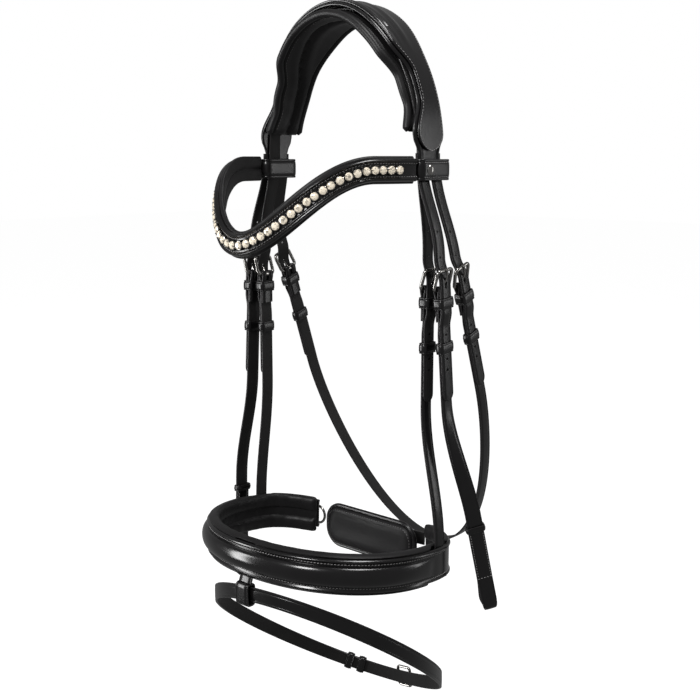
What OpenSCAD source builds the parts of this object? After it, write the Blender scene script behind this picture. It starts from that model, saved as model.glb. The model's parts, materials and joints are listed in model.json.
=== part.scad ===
// Snaffle bridle with a padded noseband and flash strap.
// Millimetres. +Z up, -Y is the way the horse faces, +X is the horse's left (near) side.
// The origin is where the crown rests on the poll. Far side pieces are mirrored in X.

/* [Crown] */
// Half width of the crown arch at its foot, inside the padding
arch_half = 80; // [79:1:84]
// Height of the padding's underside above the arch foot
arch_rise = 116; // [101:1:120]
// Width of the crown leather along the legs
crown_w = 40; // [36:1:44]
// How far the crown widens on top of the poll
crown_flare = 9; // [0:1:12]
// Thickness of the crown padding
crown_pad_t = 8; // [6.5:0.5:8.5]

/* [Browband] */
// Half width of the browband between its loops
brow_half = 97; // [96:0.5:98]
// How far the browband curves forward of the poll
brow_front = 132; // [124:1:145]
// Depth of the wave at the middle of the forehead
brow_dip = 62; // [50:1:70]
// Height of the browband leather
brow_h = 19; // [17:1:21]
// How far the browband has turned towards the far side, in degrees
brow_turn = 3; // [0:1:12]
// Number of crystals in the channel
crystal_n = 41; // [21:2:41]
// Radius of one crystal
crystal_r = 3.5; // [2.4:0.1:3.5]

/* [Side straps] */
// Height at which the billets can flex, above the buckles
flex_z = -200; // [-206:1:-196]
// Width of the cheekpieces
cheek_w = 15; // [14:0.5:16]
// Width of the noseband hangers and the throatlash
hanger_w = 14; // [13:0.5:15]
// How far the bridle hangs back on the near side and forward on the far side
hang_turn = 4.5; // [0:0.5:5]
// Sideways place of the cheekpieces at the flex
cheek_x = 109; // [109:0.5:110]
// Sideways place of the hangers at the flex
hanger_x = 96; // [95:0.5:96]
// Sideways place of the throatlash at the flex
throat_x = 107; // [106:0.5:108]
// Backward lean of the near cheekpiece below its buckle
near_cheek_lean = 6; // [0:1:8]
// Backward lean of the far cheekpiece below its buckle
far_cheek_lean = -3; // [-5:1:4]
// Turn of the near bit loop towards the front, in degrees
near_loop_turn = 40; // [0:5:40]
// Backward lean of the throatlash below its buckles
throat_lean = 19; // [14:1:20]

/* [Noseband] */
// Half width of the noseband leather on the far side
nose_half = 108; // [104:1:109]
// Half width of the noseband leather on the near side, where it is eased outward
nose_half_near = 117; // [108:1:118]
// Depth of the noseband in front of its widest place
nose_front = 105; // [95:1:110]
// Depth of the far side behind the widest place
nose_rear = 60; // [56:1:62]
// Depth of the near side behind the widest place
nose_rear_near = 78; // [72:1:80]
// Height of the noseband leather
nose_h = 30; // [28:1:32]
// Height of the middle of the noseband at the front
nose_z = -465; // [-470:1:-460]

/* [Flash] */
// Half width of the flash strap loop
flash_half = 107; // [100:1:108]
// Drop of the flash strap for each millimetre towards the back
flash_slope = 0.75; // [0.7:0.01:0.8]
// Rise of the flash strap for each millimetre towards the near side
flash_roll = 0.12; // [0:0.01:0.12]
// Width of the flash strap
flash_w = 14; // [12:0.5:14]

/* [Hidden] */

$fn = 32;
leather = "#1b1a1b";
flesh = "#33302f";
soft = "#121213";
steel = "#c9cbce";
champagne = "#d9c9a0";

strap_t = 2;          // thickness of a strap
gap = 0.4;            // air between pieces that lie on each other
split = 1.5;          // air in a billet where it flexes
foot_z = -arch_rise;  // height of the arch foot
arch_p = 1.95;        // fullness of the arch, 2 is an ellipse
arch_steps = 36;
brow_z = -130;        // height of the browband at its loops
loop_h = 18;          // height of a browband loop
top_bar_s = 15;       // distance down a strap from the flex to the buckle's top bar
bar_s = 32;           // and to the bar that the strap folds round
bar_r = 1.5;
fold_r = 3.4;         // outside radius of that fold
chape_end_s = 60;     // where the folded part ends
keeper_s = 44;        // middle of the fixed keeper
runner_s = 84;        // middle of the sliding runner
tip_s = 133;          // tip of the billet
hole_s = [72, 94, 104]; // spare holes of the billet
straight_s = 136;     // length of the straight part of a strap
keeper_h = 10;
keeper_t = 1.4;
tail_t = 1.8;
high_n = 4.5;         // how far out the billet lies where it crosses the fold
low_n = 2.1;          // and below it, on the strap
loop_drop = 101;      // from the end of the curved cheek strap to the bit loop's centre
stud_s = 52;          // and to the hook stud
loop_r = 4.7;         // inside radius of a bit loop
nose_y = -30;         // the noseband's widest place
nose_tilt = 0.1;      // drop of the noseband for each millimetre towards the back
nose_t = 3;
nose_pad_t = 8;
nose_pad_air = 0.5;   // between the noseband's leather and its padding
flash_y = -26;
flash_depth = 110;
flash_t = 2.4;
flash_z = -498;       // height of the flash strap at the front
flash_steps = 48;
flash_buckle_a = 88;  // angle of the flash buckle from the near side
flash_keeper_a = 115; // and of its keeper
flash_runner_a = 122; // and of its runner
flash_ring_l = 8;     // length of each along the strap

function unit(v) = v / norm(v);
function pick(v, i) = is_list(v) ? v[i] : v;
function clamp01(v) = max(0, min(1, v));
function ease(v) = let(c = clamp01(v)) c * c * (3 - 2 * c);
function mix(a, b, t) = a + (b - a) * t;
function bez(p, t) = pow(1 - t, 3) * p[0] + 3 * pow(1 - t, 2) * t * p[1]
    + 3 * (1 - t) * t * t * p[2] + pow(t, 3) * p[3];
function bez_path(p, n) = [for (i = [0:n]) bez(p, i / n)];
function side_cut(v, p) = sign(v) * pow(abs(v), 2 / p);
function flip(v, side) = [side * v[0], v[1], v[2]];
function join_paths(a, b) = concat([for (i = [0:len(a) - 2]) a[i]], b);

// Direction of a path at point i
function along(path, i, closed) = let(n = len(path),
    a = closed ? (i + n - 1) % n : max(i - 1, 0),
    b = closed ? (i + 1) % n : min(i + 1, n - 1)) unit(path[b] - path[a]);
function across(t, wdir) = unit(wdir - (wdir * t) * t);

// Running length of a path, and the point at a length along it
function lengths(p, i = 1, acc = [0]) = i >= len(p) ? acc
    : lengths(p, i + 1, concat(acc, [acc[i - 1] + norm(p[i] - p[i - 1])]));
function at_length(p, c, s, i = 1) = (s <= c[i] || i == len(p) - 1)
    ? mix(p[i - 1], p[i], (s - c[i - 1]) / (c[i] - c[i - 1])) : at_length(p, c, s, i + 1);

// A strap of rectangular section. It lies between n0 and n1 outward of the path, with its
// width along wdir, which is one direction or one for each point.
module sweep(path, w, n0, n1, wdir = [0, 1, 0], closed = false) {
    n = len(path);
    pts = [for (i = [0:n - 1]) let(t = along(path, i, closed),
        a = across(t, is_list(wdir[0]) ? wdir[i] : wdir), o = cross(t, a),
        h = pick(w, i) / 2, lo = pick(n0, i), hi = pick(n1, i))
        each [path[i] + a * h + o * hi, path[i] + a * h + o * lo,
            path[i] - a * h + o * lo, path[i] - a * h + o * hi]];
    last = closed ? n - 1 : n - 2;
    sides = [for (i = [0:last], k = [0:3]) let(j = (i + 1) % n, m = (k + 1) % 4)
        each [[4 * i + k, 4 * i + m, 4 * j + m], [4 * i + k, 4 * j + m, 4 * j + k]]];
    ends = closed ? [] : [[0, 2, 1], [0, 3, 2],
        [4 * n - 4, 4 * n - 3, 4 * n - 2], [4 * n - 4, 4 * n - 2, 4 * n - 1]];
    polyhedron(points = pts, faces = concat(sides, ends));
}

// A cord of round section along a path
module cord(path, r, sides = 8) {
    n = len(path);
    pts = [for (i = [0:n - 1]) let(t = along(path, i, false), a = across(t, [0, 0.3, 0.95]),
        o = cross(t, a)) for (k = [0:sides - 1])
        path[i] + r * (cos(k * 360 / sides) * a + sin(k * 360 / sides) * o)];
    walls = [for (i = [0:n - 2], k = [0:sides - 1]) let(m = (k + 1) % sides)
        each [[sides * i + k, sides * (i + 1) + m, sides * i + m],
            [sides * i + k, sides * (i + 1) + k, sides * (i + 1) + m]]];
    caps = [[for (k = [0:sides - 1]) k], [for (k = [sides - 1:-1:0]) sides * (n - 1) + k]];
    polyhedron(points = pts, faces = concat(walls, caps));
}

module cross_bar(r, l) { rotate([90, 0, 0]) cylinder(r = r, h = l, center = true); }
module out_bar(r, a, b) { translate([a, 0, 0]) rotate([0, 90, 0]) cylinder(r = r, h = b - a); }
module box(x0, x1, w, z0, z1) { translate([x0, -w / 2, z0]) cube([x1 - x0, w, z1 - z0]); }

// Places on the side straps: x is outward, y is back, -z runs down the strap
function cheek_lean(side) = side > 0 ? near_cheek_lean : far_cheek_lean;
function cheek_end(side) = side > 0 ? [127, 29, -441] : [122, -26, -438];
function cheek_end_lean(side) = side > 0 ? 18 : -2;
function cheek_at(side) = [cheek_x, -9 + side * hang_turn, flex_z];
function hanger_at(side) = [hanger_x, -8 + side * hang_turn, flex_z];
function throat_at() = [throat_x, 20, flex_z];
function down(lean) = [0, sin(lean), -cos(lean)];
function run(at, lean, s) = at + s * down(lean);
module at_strap(at, lean, side) {
    mirror([side > 0 ? 0 : 1, 0, 0]) translate(at) rotate([lean, 0, 0]) children();
}
module both_sides() {
    children();
    mirror([1, 0, 0]) children();
}

// Headpiece
function arch_point(a, off, y = 0) = [-(arch_half + off) * side_cut(cos(a), arch_p), y,
    foot_z + (arch_rise + off) * side_cut(sin(a), arch_p)];
ear_cut_depth = 11;  // how far the front edge is cut back behind the ears
function ear_cut(a) = let(d = min(a, 180 - a))
    ear_cut_depth * ease((d - 8) / 14) * ease((46 - d) / 14);
function flare(a) = let(d = min(a, 180 - a)) crown_flare * ease((d - 36) / 26);
function crown_front(a) = -crown_w / 2 - flare(a) * 0.4 + ear_cut(a);
function crown_back(a) = crown_w / 2 + flare(a) * 0.6;
function arch_path(off, a0 = 0, a1 = 180) = [for (i = [0:arch_steps])
    let(a = mix(a0, a1, i / arch_steps))
    arch_point(a, off, (crown_front(a) + crown_back(a)) / 2)];
function arch_widths(extra, a0 = 0, a1 = 180) = [for (i = [0:arch_steps])
    let(a = mix(a0, a1, i / arch_steps)) crown_back(a) - crown_front(a) + extra];
strap_off = crown_pad_t + 0.4;                // where the headstrap lies in the crown
leather_off = strap_off + strap_t + gap;
leather_t = 2.8;
billet_w = 15;
billet_y = 9.5;      // from the middle of the crown to a billet
headstrap_y = -5;
overlay_t = 1.6;
overlay_inset = 5;   // how much narrower the overlay is than the crown
pad_proud = 6;       // and how much wider the padding is
piping_out = 8.5;    // from the crown's edge to the piping
piping_r = 1.7;
function billet_path(y, at, lean, out) = let(a = [arch_half + out, y, foot_z],
    b = run(at, lean, -split / 2)) bez_path([a, a + [0, 0, -34], b - 32 * down(lean), b], 14);

module headpiece_leather() color(leather) {
    sweep(arch_path(leather_off + leather_t / 2), arch_widths(0), -leather_t / 2, leather_t / 2);
    for (side = [1, -1]) mirror([side > 0 ? 0 : 1, 0, 0]) {
        mid = leather_off + leather_t / 2;
        sweep(billet_path(-billet_y, cheek_at(side), cheek_lean(side), mid),
            billet_w, -strap_t / 2, strap_t / 2);
        sweep(billet_path(billet_y, throat_at(), throat_lean, mid),
            billet_w - 1, -strap_t / 2, strap_t / 2);
    }
}
module headpiece_overlay() color(leather)
    sweep(arch_path(leather_off + leather_t + 0.6, 1, 179), arch_widths(-overlay_inset, 1, 179),
        0, overlay_t);
pad_foot = 9;       // angle at which the padding stops short of the arch foot
module headpiece_padding() color(soft)
    sweep(arch_path(0, pad_foot, 180 - pad_foot), arch_widths(pad_proud, pad_foot, 180 - pad_foot),
        0, crown_pad_t);
module headpiece_piping() color(soft) for (edge = [0, 1]) {
    cord([for (i = [0:arch_steps]) let(a = mix(pad_foot, 180 - pad_foot, i / arch_steps))
        arch_point(a, crown_pad_t / 2,
            edge > 0 ? crown_back(a) + piping_out : crown_front(a) - piping_out)], piping_r);
}
module noseband_headstrap() color(flesh) {
    mid = strap_off + strap_t / 2;
    top = [for (i = [0:arch_steps]) arch_point(180 - i * 180 / arch_steps, mid, headstrap_y)];
    half = [for (i = [arch_steps / 2:-1:0]) top[i]];
    for (side = [1, -1]) mirror([side > 0 ? 0 : 1, 0, 0])
        sweep(join_paths(half, billet_path(headstrap_y, hanger_at(side), 0, mid)), hanger_w,
            -strap_t / 2, strap_t / 2);
}

// Browband
function brow_wave(a) = (1 + cos(min(180, abs(a + brow_turn) * 2.8))) / 2;
function brow_point(a) = [brow_half * sin(a), 6 - (brow_front + 6) * cos(a),
    brow_z - brow_dip * brow_wave(a)];
brow_end = 78;      // angle at which the browband ends inside its loops
brow_steps = 44;
crystal_end = 70;   // angle of the last crystal
crystal_steps = 60;
brow_t = 3.4;
brow_pad_n = [-5, -0.8]; // where the browband's padding lies, inward of the leather
brow_path = [for (i = [0:brow_steps]) brow_point(mix(-brow_end, brow_end, i / brow_steps))];
crystal_path = [for (i = [0:crystal_steps])
    brow_point(mix(-crystal_end, crystal_end, i / crystal_steps))];
crystal_len = lengths(crystal_path);
module brow_bits() for (i = [0:crystal_n - 1]) {
    last = crystal_len[crystal_steps];
    s = last * i / (crystal_n - 1);
    p = at_length(crystal_path, crystal_len, s);
    q = at_length(crystal_path, crystal_len, min(s + 0.5, last));
    r = at_length(crystal_path, crystal_len, max(s - 0.5, 0));
    o = cross(unit(q - r), across(unit(q - r), [0, 0, 1]));
    translate(p) rotate([0, acos(o[2]), atan2(o[1], o[0])]) children();
}
module browband_leather() color(leather)
    sweep(brow_path, brow_h, 0, brow_t, [0, 0, 1]);
module browband_padding() color(soft)
    sweep(brow_path, brow_h + 4, brow_pad_n[0], brow_pad_n[1], [0, 0, 1]);
cup_n = 0.5;         // height of a cup's base off the leather
cup_h = 1;
crystal_h = 1.6;
module browband_crystal_cups() color(steel) brow_bits()
    translate([0, 0, brow_t + cup_n]) cylinder(r = crystal_r + 0.3, h = cup_h, $fn = 12);
module browband_crystals() color(champagne) brow_bits() translate([0, 0, brow_t + cup_n + cup_h + 0.05])
    cylinder(r1 = crystal_r, r2 = crystal_r * 0.55, h = crystal_h, $fn = 16);
loop_x = [86.6, 99.4];      // inside of a browband loop, sideways
loop_y = [-18.2, 20.2];     // and from front to back
loop_wall = 1.8;
module browband_loops() color(leather) both_sides() {
    size = [loop_x[1] - loop_x[0], loop_y[1] - loop_y[0]];
    translate([loop_x[0], loop_y[0], brow_z - loop_h / 2]) difference() {
        translate([-loop_wall, -loop_wall, 0])
            cube([size[0] + 2 * loop_wall, size[1] + 2 * loop_wall, loop_h]);
        translate([0, 0, -loop_h / 2]) cube([size[0], size[1], 2 * loop_h]);
    }
}
module browband_studs() color(steel) both_sides()
    translate([loop_x[1] + loop_wall + 0.1, -8, brow_z]) rotate([0, 90, 0]) {
        cylinder(r = 4.5, h = 0.8);
        cylinder(r = 3, h = 2.2);
    }

// Fittings of one buckle, placed from the flex of its strap
module buckle(w) color(steel) {
    n_top = high_n + 0.7;
    run_n = n_top / (bar_s - top_bar_s);
    tilt = atan(run_n);
    long = (bar_s - top_bar_s) / cos(tilt);
    translate([0, 0, -bar_s]) rotate([0, tilt, 0]) {
        cross_bar(bar_r, w + 6);
        translate([0, 0, long]) cross_bar(bar_r, w + 6);
        for (y = [-1, 1]) translate([0, y * (w / 2 + 3), -bar_r])
            cylinder(r = bar_r, h = long + 2 * bar_r);
    }
}
tongue_rise = 34;     // slope of a tongue up to its knee
tongue_knee = 12.6;   // and that part's length
tongue_eye_r = 2.5;   // outside of its eye round the bar
tongue_r = 0.9;
tongue_slot = 3.4;    // width of the slot in the strap that it comes through
hole_r = 1.2;
module tongue() color(steel) {
    translate([0, 0, -bar_s]) {
        difference() {
            cross_bar(tongue_eye_r, 2.6);
            cross_bar(bar_r + 0.06, 4);
        }
        rotate([0, tongue_rise, 0]) translate([0, 0, 2]) cylinder(r = tongue_r, h = tongue_knee - 2);
        translate(tongue_knee * [sin(tongue_rise), 0, cos(tongue_rise)]) {
            sphere(r = 1);
            rotate([0, 6, 0]) cylinder(r = 0.85, h = 9);
        }
    }
}
module strap_top(w) {
    difference() {
        union() {
            translate([0, 0, -bar_s]) cross_bar(fold_r, w + 0.1);
            box(-strap_t, strap_t, w + 0.1, -chape_end_s, -bar_s);
        }
        translate([0, 0, -bar_s]) cross_bar(bar_r + 0.1, w + 2);
        box(-fold_r - 1, fold_r + 1, tongue_slot, -bar_s - 6, -bar_s + 6);
    }
}
tail_line = [[split / 2, 0], [6, 0], [top_bar_s, 2], [bar_s - 7, high_n], [bar_s + 20, high_n],
    [chape_end_s + 5, low_n], [tip_s - 7, low_n]];
module billet_tail(w) difference() {
    union() {
        rotate([90, 0, 0]) linear_extrude(w, center = true)
            polygon(concat([for (p = tail_line) [p[1] + tail_t / 2, -p[0]]],
                [for (i = [len(tail_line) - 1:-1:0])
                    [tail_line[i][1] - tail_t / 2, -tail_line[i][0]]]));
        translate([low_n - tail_t / 2, 0, -tip_s + 7]) intersection() {
            rotate([0, 90, 0]) cylinder(r = w / 2, h = tail_t);
            box(-1, 3, w, -w, 0);
        }
    }
    box(0, 9, 3.2, -bar_s - 1, -top_bar_s - 1);
    for (s = hole_s) translate([0, 0, -s]) out_bar(hole_r, 0, 9);
}
module band(w, n0, n1, s) difference() {
    box(n0 - keeper_t, n1 + keeper_t, w + 0.8 + 2 * keeper_t, -s - keeper_h / 2, -s + keeper_h / 2);
    box(n0, n1, w + 0.8, -s - keeper_h, -s + keeper_h);
}
module keeper(w) color(leather)
    band(w, -strap_t - 0.3, high_n + tail_t / 2 + 0.3, keeper_s);
module runner(w) color(leather)
    band(w, -strap_t / 2 - 0.3, low_n + tail_t / 2 + 0.3, runner_s);

// Cheekpieces
function cheek_path(side) = let(a = run(cheek_at(side), cheek_lean(side), straight_s),
    e = cheek_end(side), tip = down(cheek_end_lean(side)))
    concat([run(cheek_at(side), cheek_lean(side), chape_end_s - 1)],
        bez_path([a, a + 35 * down(cheek_lean(side)), e - 35 * tip, e], cheek_steps), [e + 4 * tip]);
cheek_steps = 18;
function loop_turn(side) = side > 0 ? near_loop_turn : 0;
function cheek_wdirs(side) = [for (i = [0:cheek_steps + 2])
    let(k = loop_turn(side) * ease((i - 1) / cheek_steps), lean = cheek_end_lean(side))
    [sin(k), cos(k) * cos(lean), cos(k) * sin(lean)]];
module cheek_foot(side) {
    at_strap(cheek_end(side), cheek_end_lean(side), side)
        rotate([0, 0, -loop_turn(side)]) children();
}
module teardrop(r, top_x0, top_x1, top_z) {
    circle(r = r);
    polygon([[-r, 0], [r, 0], [top_x1, top_z], [top_x0, top_z]]);
}
module bit_loop(w) {
    c = -loop_r;
    translate([c, 0, -loop_drop]) rotate([90, 0, 0]) linear_extrude(w, center = true) difference() {
        teardrop(loop_r + strap_t, 1.55 - 0.2, loop_r + 1, 34);
        teardrop(loop_r, 3.45, 3.55, 28);
    }
    box(-0.95, 0.95, w - 0.2, -loop_drop + 30, -2);
    difference() {
        box(-3.2, -1.25, w - 0.2, -loop_drop + 30, -9);
        translate([0, 0, -stud_s]) out_bar(1.8, -5, -1.1);
    }
}
module cheek_strap(side) color(leather) {
    at_strap(cheek_at(side), cheek_lean(side), side) strap_top(cheek_w);
    mirror([side > 0 ? 0 : 1, 0, 0])
        sweep(cheek_path(side), cheek_w, -strap_t / 2, strap_t / 2, cheek_wdirs(side));
    cheek_foot(side) bit_loop(cheek_w);
}
module hook_stud(side) color(steel) cheek_foot(side)
    translate([0, 0, -stud_s]) {
        out_bar(1.6, -4.2, -1.05);
        out_bar(2.8, -4.6, -3.4);
    }
module near_cheek_strap() { cheek_strap(1); }
module far_cheek_strap() { cheek_strap(-1); }
module cheek_part(side) { at_strap(cheek_at(side), cheek_lean(side), side) children(); }
module near_cheek_billet_tail() { cheek_part(1) color(leather) billet_tail(cheek_w); }
module far_cheek_billet_tail() { cheek_part(-1) color(leather) billet_tail(cheek_w); }
module near_cheek_buckle() { cheek_part(1) buckle(cheek_w); }
module far_cheek_buckle() { cheek_part(-1) buckle(cheek_w); }
module near_cheek_tongue() { cheek_part(1) tongue(); }
module far_cheek_tongue() { cheek_part(-1) tongue(); }
module near_cheek_keeper() { cheek_part(1) keeper(cheek_w); }
module far_cheek_keeper() { cheek_part(-1) keeper(cheek_w); }
module near_cheek_runner() { cheek_part(1) runner(cheek_w); }
module far_cheek_runner() { cheek_part(-1) runner(cheek_w); }
module near_hook_stud() { hook_stud(1); }
module far_hook_stud() { hook_stud(-1); }

// Noseband
function nose_point(a, off) = let(c = cos(a), s = sin(a),
    y = s > 0 ? nose_y + ((c > 0 ? nose_rear_near : nose_rear) + off) * side_cut(s, 2.8)
        : nose_y + (nose_front + off) * side_cut(s, 2.15),
    x = ((c > 0 ? nose_half_near : nose_half) + off) * side_cut(c, s > 0 ? 2.8 : 2.15))
    [x, y, nose_z - nose_tilt * (y - nose_y + nose_front)];
nose_end = 62;      // angle at which the leather ends behind the jaw
nose_steps = 60;
nose_path = [for (i = [0:nose_steps])
    nose_point(mix(-180 - nose_end, nose_end, i / nose_steps), 0)];
function hanger_end(side) = [(side > 0 ? nose_half_near : nose_half) - 2.4,
    -10 + side * hang_turn, nose_z + 4];
function hanger_path(side) = let(a = run(hanger_at(side), 0, straight_s), e = hanger_end(side))
    concat([run(hanger_at(side), 0, chape_end_s - 1)],
    bez_path([a, a + [0, 0, -45], e + [-1, 0, 45], e], 12));
module hanger_part(side) { at_strap(hanger_at(side), 0, side) children(); }
module each_hanger() for (side = [1, -1]) hanger_part(side) children();
module hanger_straps() color(leather) {
    each_hanger() strap_top(hanger_w);
    for (side = [1, -1]) mirror([side > 0 ? 0 : 1, 0, 0])
        sweep(hanger_path(side), hanger_w, -strap_t / 2, strap_t / 2);
}
module hanger_billet_tails() color(leather) each_hanger() billet_tail(hanger_w);
module hanger_buckles() { each_hanger() buckle(hanger_w); }
module hanger_keepers() { each_hanger() keeper(hanger_w); }
module near_hanger_tongue() { hanger_part(1) tongue(); }
module far_hanger_tongue() { hanger_part(-1) tongue(); }
module near_hanger_runner() { hanger_part(1) runner(hanger_w); }
module far_hanger_runner() { hanger_part(-1) runner(hanger_w); }
module noseband_leather() color(leather) sweep(nose_path, nose_h, 0, nose_t, [0, 0, 1]);
roll_end = 3;       // angle from the widest place at which the raised roll ends
roll_size = [18, 4.2];
roll_end_size = [16, 1.2];
roll_steps = 48;
module noseband_roll() color(leather) {
    share = [for (i = [0:roll_steps]) ease(abs(2 * i / roll_steps - 1) * 3 - 2)];
    sweep([for (i = [0:roll_steps])
        nose_point(mix(roll_end - 180, -roll_end, i / roll_steps), nose_t + 0.1)],
        [for (k = share) mix(roll_size[0], roll_end_size[0], k)], 0,
        [for (k = share) mix(roll_size[1], roll_end_size[1], k)], [0, 0, 1]);
}
module noseband_padding() color(soft) difference() {
    sweep(nose_path, nose_h + 6, -nose_pad_air - nose_pad_t, -nose_pad_air, [0, 0, 1]);
    for (side = [1, -1]) translate([side * hanger_end(side)[0], hanger_end(side)[1], nose_z + 4])
        cube([5.6, hanger_w + 2, 40], center = true);
}
dee_r = 9;
dee_wire_r = 1.3;
function dee_at(side) = [side * 70, nose_point(side > 0 ? nose_end : 180 - nose_end, 9)[1], -485];
module noseband_dees() color(steel) for (side = [1, -1])
    translate(dee_at(side)) rotate([90, 0, 0]) rotate_extrude() translate([dee_r, 0]) circle(r = dee_wire_r);
flash_loop_size = [16, 6.4, 17.4];   // length along the strap, then the hole's depth and height
flash_loop_wall = 1.8;
module flash_loop() color(leather) translate([0, flash_y - flash_depth, flash_z]) difference() {
    hole = flash_loop_size;
    outer = [hole[0], hole[1] + 2 * flash_loop_wall, hole[2] + 2 * flash_loop_wall];
    top = nose_z - nose_h / 2 - 3.6 - flash_z;
    translate([-outer[0] / 2, -outer[1] / 2, -outer[2] / 2])
        cube([outer[0], outer[1], top + outer[2] / 2]);
    cube([hole[0] + 2, hole[1], hole[2]], center = true);
}
crank_w = 13;
module crank_strap() color(leather) sweep([mix(dee_at(-1), dee_at(1), 0.09),
    mix(dee_at(-1), dee_at(1), 0.91)], crank_w, -strap_t / 2, strap_t / 2, [0, 0, 1]);
jaw_at = [6, nose_y + nose_rear - 3, -487];
jaw_size = [116, 9, 46];
jaw_r = 12;          // its corners, piping included
jaw_piping = 2.5;
module jaw_shape(r, t) hull() for (x = [-1, 1], z = [-1, 1])
    translate([x * (jaw_size[0] / 2 - jaw_r), 0, z * (jaw_size[2] / 2 - jaw_r)])
        rotate([90, 0, 0]) cylinder(r = r, h = t, center = true);
module jaw_pad() color(soft) translate(jaw_at) jaw_shape(jaw_r - jaw_piping, jaw_size[1]);
module jaw_pad_piping() color(soft) translate(jaw_at) difference() {
    jaw_shape(jaw_r, jaw_size[1]);
    jaw_shape(jaw_r - jaw_piping + 0.3, 2 * jaw_size[1]);
}

// Throatlash
function throat_path() = let(a = run(throat_at(), throat_lean, straight_s),
    b = [0, 140, -522], near = bez_path([a, a + 66 * down(throat_lean), b + [70, 0, 0], b], 18),
    far = [for (i = [17:-1:0]) flip(near[i], -1)])
    concat([run(throat_at(), throat_lean, chape_end_s - 1)], near, far,
        [flip(run(throat_at(), throat_lean, chape_end_s - 1), -1)]);
module throat_part(side) { at_strap(throat_at(), throat_lean, side) children(); }
module throatlash_strap() color(leather) {
    sweep(throat_path(), hanger_w, -strap_t / 2, strap_t / 2);
    both_sides() throat_part(1) strap_top(hanger_w);
}
module throatlash_billet_tails() color(leather) both_sides() throat_part(1) billet_tail(hanger_w);
module throatlash_buckles() { both_sides() throat_part(1) buckle(hanger_w); }
module throatlash_keepers() { both_sides() throat_part(1) keeper(hanger_w); }
module near_throatlash_tongue() { throat_part(1) tongue(); }
module far_throatlash_tongue() { throat_part(-1) tongue(); }
module near_throatlash_runner() { throat_part(1) runner(hanger_w); }
module far_throatlash_runner() { throat_part(-1) runner(hanger_w); }

// Flash strap
function flash_point(a) = let(y = flash_y + flash_depth * sin(a))
    [flash_half * cos(a), y,
        flash_z - flash_slope * (y - flash_y + flash_depth) + flash_roll * flash_half * cos(a)];
flash_path = [for (i = [0:flash_steps - 1]) flash_point(i * 360 / flash_steps)];
module flash_strap() color(leather)
    sweep(flash_path, flash_w, -flash_t / 2, flash_t / 2, [0, 0, 1], true);
module at_flash(a) {
    p = flash_point(a);
    t = unit(flash_point(a + 1) - flash_point(a - 1));
    w = across(t, [0, 0, 1]);
    o = cross(t, w);
    multmatrix([[o[0], t[0], w[0], p[0]], [o[1], t[1], w[1], p[1]], [o[2], t[2], w[2], p[2]]])
        children();
}
module flash_ring() difference() {
    cube([7, flash_ring_l, flash_w + 3.6], center = true);
    cube([4.2, 2 * flash_ring_l, flash_w + 0.8], center = true);
}
module flash_buckle() color(steel) at_flash(flash_buckle_a) difference() {
    translate([1.5, -9, -flash_w / 2 - 3.5]) cube([2.6, 18, flash_w + 7]);
    translate([0, -6.4, -flash_w / 2 - 0.9]) cube([6, 12.8, flash_w + 1.8]);
}
module flash_tongue() color(steel) at_flash(flash_buckle_a) translate([5.3, -8.5, 0])
    rotate([-90, 0, 0]) cylinder(r = tongue_r, h = 18);
module flash_keeper() color(leather) at_flash(flash_keeper_a) flash_ring();
module flash_runner() color(leather) at_flash(flash_runner_a) flash_ring();

headpiece_leather();
headpiece_overlay();
headpiece_padding();
headpiece_piping();
noseband_headstrap();
browband_leather();
browband_padding();
browband_loops();
browband_crystals();
browband_crystal_cups();
browband_studs();
near_cheek_strap();
far_cheek_strap();
near_cheek_billet_tail();
far_cheek_billet_tail();
near_cheek_buckle();
far_cheek_buckle();
near_cheek_tongue();
far_cheek_tongue();
near_cheek_keeper();
far_cheek_keeper();
near_cheek_runner();
far_cheek_runner();
near_hook_stud();
far_hook_stud();
hanger_straps();
hanger_billet_tails();
hanger_buckles();
hanger_keepers();
near_hanger_tongue();
far_hanger_tongue();
near_hanger_runner();
far_hanger_runner();
noseband_leather();
noseband_roll();
noseband_padding();
noseband_dees();
flash_loop();
crank_strap();
jaw_pad();
jaw_pad_piping();
throatlash_strap();
throatlash_billet_tails();
throatlash_buckles();
throatlash_keepers();
near_throatlash_tongue();
far_throatlash_tongue();
near_throatlash_runner();
far_throatlash_runner();
flash_strap();
flash_buckle();
flash_tongue();
flash_keeper();
flash_runner();
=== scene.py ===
"""Looks of the snaffle bridle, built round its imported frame.

Lengths in this file are millimetres until mesh_piece() turns them into metres.
Each strap has a path, and a section in (w, n): w runs across the strap and n points outward.
"""
import json
import math

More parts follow.
